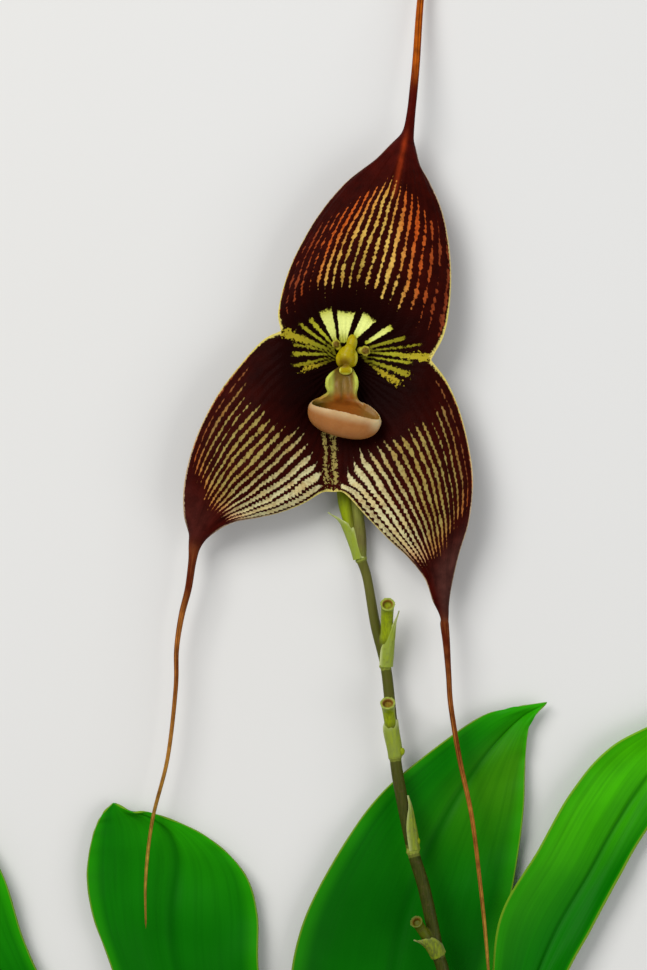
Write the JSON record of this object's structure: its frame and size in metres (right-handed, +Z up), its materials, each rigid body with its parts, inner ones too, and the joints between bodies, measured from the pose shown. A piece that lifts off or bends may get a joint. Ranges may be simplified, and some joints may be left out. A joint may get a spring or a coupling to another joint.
{
  "type": "monkey face orchid",
  "caption": "Lifted orchid plant lying on its back: a long-tailed striped flower with a small face-like centre, on its stem, with leaves, rhizome and roots.",
  "frame": {"origin": "on the flat underside of the rhizome, at the middle of the plant's base, where it rests on the surface", "axes": "+Z up from the surface, the way the flower faces; +Y from the rhizome along the leaves and the stem to the flower"},
  "size_m": [0.2022, 0.4215, 0.0166],
  "materials": {
    "sepal": "satin, dark maroon with cream and orange stripes",
    "flesh": "satin yellow",
    "lip": "satin peach",
    "stem": "satin olive green",
    "leaf": "satin green",
    "rhizome": "matt brown"
  },
  "bodies": {
    "root": {"sepals": "sepal", "petal_left": "flesh", "petal_right": "flesh", "column": "flesh", "lip": "lip", "pedicel_and_ovary": "stem", "flowering_stem": "stem", "leaf_left": "leaf", "leaf_middle": "leaf", "leaf_right": "leaf", "leaf_far_left": "leaf", "rhizome": "rhizome"}
  },
  "joints": []
}
